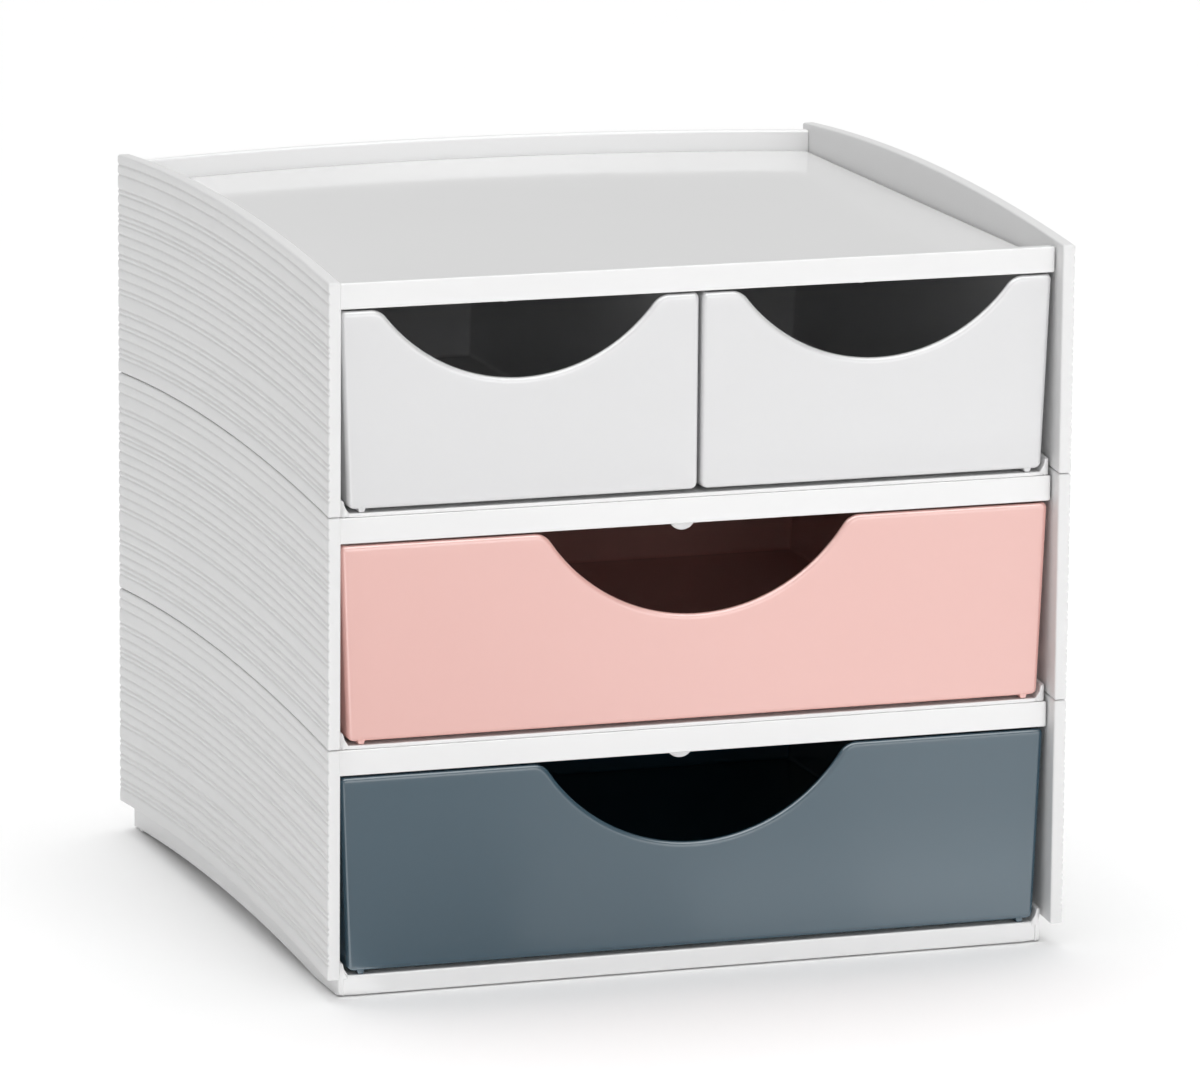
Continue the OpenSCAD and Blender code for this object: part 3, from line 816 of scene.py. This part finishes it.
def handled_gloss_group():
    """Roughness of a handled surface: soft smudges and fine hairlines, both rougher than the clean
    moulding. The greater of the two noises mixes the clean roughness with the smudged one."""
    inputs = [
        ("Vector", "Vector", None),
        ("Clean", "Float", None),
        ("Smudged", "Float", None),
        ("Smudge size", "Float", 26.0),
        ("Hairlines", "Float", HAIRLINES),
    ]
    group, given, out = node_group("handled_gloss", inputs, [("Roughness", "Float")])
    link = group.links.new
    smudge = add(group, "TexNoise", inputs={"Detail": 5.0, "Roughness": 0.65, "Distortion": 0.4})
    spread = add(group, "MapRange", inputs={"From Min": 0.42, "From Max": 0.72})
    thread = {"Scale": (40.0, 900.0, 700.0), "Rotation": (0.2, 0.5, 0.3)}
    stretch = add(group, "Mapping", inputs=thread)
    hair = add(group, "TexNoise", inputs={"Scale": 1.0, "Detail": 2.0})
    thin = add(group, "MapRange", inputs={"From Min": 0.66, "From Max": 0.74})
    hair_share = add(group, "Math", operation="MULTIPLY")
    both = add(group, "Math", operation="MAXIMUM")
    result = add(group, "Mix", data_type="FLOAT")
    link(given.outputs["Vector"], smudge.inputs["Vector"])
    link(given.outputs["Smudge size"], smudge.inputs["Scale"])
    link(smudge.outputs["Fac"], spread.inputs["Value"])
    link(given.outputs["Vector"], stretch.inputs["Vector"])
    link(stretch.outputs["Vector"], hair.inputs["Vector"])
    link(hair.outputs["Fac"], thin.inputs["Value"])
    link(thin.outputs["Result"], hair_share.inputs[0])
    link(given.outputs["Hairlines"], hair_share.inputs[1])
    link(spread.outputs["Result"], both.inputs[0])
    link(hair_share.outputs["Value"], both.inputs[1])
    link(both.outputs["Value"], result.inputs["Factor"])
    link(given.outputs["Clean"], result.inputs["A"])
    link(given.outputs["Smudged"], result.inputs["B"])
    link(result.outputs["Result"], out.inputs["Roughness"])
    return group


WALL_GROUP = moulded_wall_group()
TINT_GROUP = resin_tint_group()
GLOSS_GROUP = handled_gloss_group()


def srgb(r, g, b):
    """Linear colour of 0 to 255 screen values, by the sRGB curve."""
    c = np.array([r, g, b]) / 255
    return (*np.where(c <= 0.04045, c / 12.92, ((c + 0.055) / 1.055) ** 2.4), 1.0)


def moulded_plastic(name, light, dark, clean, smudged, bump, mirror=0.5, grain_share=0.15):
    """Opaque moulded plastic: the three groups read the piece's own coordinates and feed colour,
    gloss and bump. light and dark are shades in 0 to 255 screen values, clean and smudged are
    roughnesses, and mirror is the strength of the mirror layer, where 0.5 is that of the index."""
    material = bpy.data.materials.new(name)
    material.use_nodes = True
    tree = material.node_tree
    link = tree.links.new
    shader = tree.nodes["Principled BSDF"]
    shader.inputs["IOR"].default_value = PLASTIC_IOR
    shader.inputs["Specular IOR Level"].default_value = mirror
    shades = {"Light": srgb(*light), "Dark": srgb(*dark)}
    finish = {"Clean": clean, "Smudged": smudged}
    place = add(tree, "TexCoord")
    tint = add(tree, "Group", node_tree=TINT_GROUP, inputs=shades)
    gloss = add(tree, "Group", node_tree=GLOSS_GROUP, inputs=finish)
    wall = add(tree, "Group", node_tree=WALL_GROUP, inputs={"Grain share": grain_share})
    raised = add(tree, "Bump", inputs={"Strength": bump, "Distance": MM})
    for group in (tint, gloss, wall):
        link(place.outputs["Object"], group.inputs["Vector"])
    link(tint.outputs["Color"], shader.inputs["Base Color"])
    link(gloss.outputs["Roughness"], shader.inputs["Roughness"])
    link(wall.outputs["Height"], raised.inputs["Height"])
    link(raised.outputs["Normal"], shader.inputs["Normal"])
    return material


SHELL_SATIN = moulded_plastic(
    "shell_satin", (225, 225, 225), (224, 224, 224), clean=0.42, smudged=0.44, bump=0.01, mirror=0.3
)
SHELL_GLOSS = moulded_plastic(
    "shell_gloss", (232, 232, 232), (231, 231, 231), clean=0.1, smudged=0.12, bump=0.006
)
# Same silk white plastic as the bases, painted lighter: painted light that brightens the rim's inner
# face
BACK_SILK_PAINTED_LIGHT = moulded_plastic(
    "back_silk", (244, 244, 244), (243, 243, 243), clean=0.3, smudged=0.32, bump=0.01
)
# Same silk white plastic as the back panels, painted darker: painted shade on the base strip under the
# side panels' overhang
BASE_SILK_PAINTED_SHADE = moulded_plastic(
    "base_silk", (230, 230, 230), (229, 229, 229), clean=0.3, smudged=0.32, bump=0.01
)
DRAWER_FINISH = {"clean": 0.25, "smudged": 0.27, "bump": 0.008}
DRAWER_WHITE = moulded_plastic(
    "drawer_white_gloss", (206, 206, 207), (205, 205, 206), mirror=1.0, **DRAWER_FINISH
)
DRAWER_PINK = moulded_plastic(
    "drawer_pink_gloss", (220, 169, 161), (219, 168, 160), mirror=1.0, **DRAWER_FINISH
)
DRAWER_SLATE = moulded_plastic(
    "drawer_slate_gloss", (40, 68, 82), (39, 67, 81), mirror=0.65, **DRAWER_FINISH
)
PAD_SOFT = moulded_plastic(
    "pad_soft", (206, 208, 206), (196, 198, 196), clean=0.7, smudged=0.85, bump=0.2, grain_share=0.8
)


# ---- the unit ----

HOUSING = "housing"

for level, name in enumerate(LEVEL_NAMES):
    moulding(name + "_base", base(level), HOUSING, BASE_SILK_PAINTED_SHADE)
    moulding(name + "_back", back_panel(level), HOUSING, BACK_SILK_PAINTED_LIGHT)
    shelf_name = "top_tray" if level == UPPER else name + "_shelf"
    moulding(shelf_name, shelf(level), HOUSING, SHELL_GLOSS)
    for hand, side in SIDE_NAMES.items():
        moulding(f"{name}_{side}_side", [side_panel(level, hand)], HOUSING, SHELL_SATIN)

for name in PAD_NAMES:
    moulding(name, [pad(name)], HOUSING, PAD_SOFT)

moulding("lower_drawer", wide_drawer(LOWER), "lower_drawer", DRAWER_SLATE)
moulding("middle_drawer", wide_drawer(MIDDLE), "middle_drawer", DRAWER_PINK)
for hand, side in SIDE_NAMES.items():
    name = f"upper_{side}_drawer"
    moulding(name, half_drawer(hand), name, DRAWER_WHITE)


# ---- floor, light and camera ----

CAMERA_AZIMUTH = math.radians(-18.943)
CAMERA_ELEVATION = math.radians(11.924)
CAMERA_ROLL = math.radians(0.472)
CAMERA_DISTANCE = 2.128564
CAMERA_TARGET = Vector((0.004491, -0.0065, 0.087721))
SENSOR_W = 36.0
FOCAL_SHARE = 8547.08 / 1200  # focal length as a share of the image's width
CLIP_END = 100

GROUND_HALF = 30.0
GROUND_ROUGHNESS = 0.9
SKY_LOW, SKY_HIGH = 0.25, 0.75  # sines of the elevations between which the sky's strength rises
SKY_DIM, SKY_BRIGHT = 0.3, 0.7

# Name, place, aim, width, height, radiance, and whether it is only for gloss
SOFTBOXES = (
    ("low_box", (0.5, -1.77, 0.4), (0, 0, 0.09), 0.78, 0.66, 4.4, False),
    ("lens_box", (-0.56, -2.08, 0.52), (0, 0, 0.1), 0.56, 0.56, 3.8, False),
    ("high_panel", (-0.1, -0.85, 1.3), (0, 0, 0.1), 2.2, 0.9, 5.5, True),
    ("back_panel", (0.65, 1.9, 0.6), (0, 0, 0.15), 2.6, 1.1, 0.15, True),
)
FRONT_REFLECTION = -CAMERA_AZIMUTH  # direction in which the front faces mirror the floor
CARD_W = 0.5
CARDS_IN_ROW, CARD_STEP = 3, 0.045  # how many overlap, and how far apart they start along X
# Name of a row, how near and how far its cards reach, and their radiance
CARD_ROWS = (("near", 0.03, 0.28, 0.52), ("far", 0.28, 0.85, 0.8))
# Name, corner along X, azimuth in degrees, and how near, far, left and right the card reaches
LONE_CARDS = (
    ("near_left_card", -0.09, -8, 0.0, 0.3, -0.05, 0.012),
    ("far_left_card", -0.09, -8, 0.3, 0.85, -0.2, 0.1),
    ("right_card", 0, 57, 0.5, 0.9, -0.16, 0.16),
)
LONE_CARD_RADIANCE = 2.2


def ground():
    """Plain pale floor, far wider than the view, just under the pads."""
    size = GROUND_HALF
    corners = [(-size, -size, 0), (size, -size, 0), (size, size, 0), (-size, size, 0)]
    mesh = bpy.data.meshes.new("ground_sheet")
    mesh.from_pydata(corners, [], [(0, 1, 2, 3)])
    material = bpy.data.materials.new("ground_matt")
    material.use_nodes = True
    shader = material.node_tree.nodes["Principled BSDF"]
    shader.inputs["Base Color"].default_value = (1, 1, 1, 1)
    shader.inputs["Roughness"].default_value = GROUND_ROUGHNESS
    mesh.materials.append(material)
    sheet = bpy.data.objects.new("ground", mesh)
    bpy.context.scene.collection.objects.link(sheet)


def area_light(name, width, height, radiance, only_gloss):
    """Rectangular light whose power is radiance*pi*area, out of the camera's sight. One that is only
    for gloss shows in glossy reflections, and lights nothing else."""
    lamp = bpy.data.lights.new(name, "AREA")
    lamp.shape = "RECTANGLE"
    lamp.size, lamp.size_y = width, height
    lamp.energy = radiance * math.pi * width * height
    holder = bpy.data.objects.new(name, lamp)
    bpy.context.scene.collection.objects.link(holder)
    holder.visible_camera = False
    holder.visible_diffuse = not only_gloss
    return holder


def softbox(name, place, aim, width, height, radiance, only_gloss):
    """Area light at place, turned to face aim."""
    holder = area_light(name, width, height, radiance, only_gloss)
    holder.location = place
    towards = Vector(aim) - Vector(place)
    holder.rotation_euler = towards.to_track_quat("-Z", "Y").to_euler()


def floor_card(name, corner, azimuth, near, far, left, right, radiance):
    """Area light only for gloss that lies on the floor and faces up. It reaches from near to far in
    the direction azimuth, which turns from the front towards the right, and from left to right across
    it, counted from a corner."""
    holder = area_light(name, far - near, right - left, radiance, only_gloss=True)
    along = Vector((math.sin(azimuth), -math.cos(azimuth), 0))
    across = Vector((-along.y, along.x, 0))
    ahead, aside = along * (near + far) / 2, across * (left + right) / 2
    holder.location = Vector((*corner, MM)) + ahead + aside
    holder.rotation_euler = (math.pi, 0, math.atan2(along.y, along.x))


def broad_key(azimuth, elevation, spread, strength):
    """Even light from one side of the sky: azimuth runs from the front towards the right, spread is
    the width of its disc, and strength is what a face turned to it receives."""
    lamp = bpy.data.lights.new("broad_key", "SUN")
    lamp.angle = spread
    lamp.energy = strength
    holder = bpy.data.objects.new("broad_key", lamp)
    bpy.context.scene.collection.objects.link(holder)
    flat = math.cos(elevation)
    towards = Vector((math.sin(azimuth) * flat, -math.cos(azimuth) * flat, math.sin(elevation)))
    holder.rotation_euler = towards.to_track_quat("Z", "Y").to_euler()


def daylight(low, high):
    """White surroundings whose strength rises from low near the horizon to high overhead."""
    world = bpy.data.worlds.new("surroundings")
    world.use_nodes = True
    tree = world.node_tree
    backdrop = tree.nodes["Background"]
    backdrop.inputs["Color"].default_value = (1, 1, 1, 1)
    towards = add(tree, "TexCoord")
    split = add(tree, "SeparateXYZ")
    climb = {"From Min": SKY_LOW, "From Max": SKY_HIGH, "To Min": low, "To Max": high}
    rise = add(tree, "MapRange", inputs=climb)
    tree.links.new(towards.outputs["Generated"], split.inputs["Vector"])
    tree.links.new(split.outputs["Z"], rise.inputs["Value"])
    tree.links.new(rise.outputs["Result"], backdrop.inputs["Strength"])
    bpy.context.scene.world = world


def long_lens():
    """Camera on the direction given by azimuth and elevation, turned about its axis by the roll."""
    a, e = CAMERA_AZIMUTH, CAMERA_ELEVATION
    back = Vector((math.sin(a) * math.cos(e), -math.cos(a) * math.cos(e), math.sin(e)))
    level_right = Vector((math.cos(a), math.sin(a), 0))
    level_up = back.cross(level_right)
    right = level_right * math.cos(CAMERA_ROLL) + level_up * math.sin(CAMERA_ROLL)
    up = back.cross(right)
    lens = bpy.data.cameras.new("long_lens")
    lens.sensor_width = SENSOR_W
    lens.lens = SENSOR_W * FOCAL_SHARE
    lens.clip_end = CLIP_END
    camera = bpy.data.objects.new("camera", lens)
    bpy.context.scene.collection.objects.link(camera)
    place = CAMERA_TARGET + back * CAMERA_DISTANCE
    camera.matrix_world = Matrix((
        (right.x, up.x, back.x, place.x),
        (right.y, up.y, back.y, place.y),
        (right.z, up.z, back.z, place.z),
        (0, 0, 0, 1),
    ))
    bpy.context.scene.camera = camera


ground()
daylight(SKY_DIM, SKY_BRIGHT)
broad_key(math.radians(180), math.radians(79), spread=math.radians(55), strength=1.3)
for box in SOFTBOXES:
    softbox(*box)
for step in range(CARDS_IN_ROW):
    corner = (CARD_STEP * (step - 1), BAND_Y)
    for row, near, far, radiance in CARD_ROWS:
        name = f"{row}_card_{step}"
        floor_card(name, corner, FRONT_REFLECTION, near, far, 0, CARD_W, radiance)
for name, corner_x, azimuth, *reach in LONE_CARDS:
    floor_card(name, (corner_x, BAND_Y), math.radians(azimuth), *reach, LONE_CARD_RADIANCE)
long_lens()
bpy.context.scene.view_settings.view_transform = "Standard"
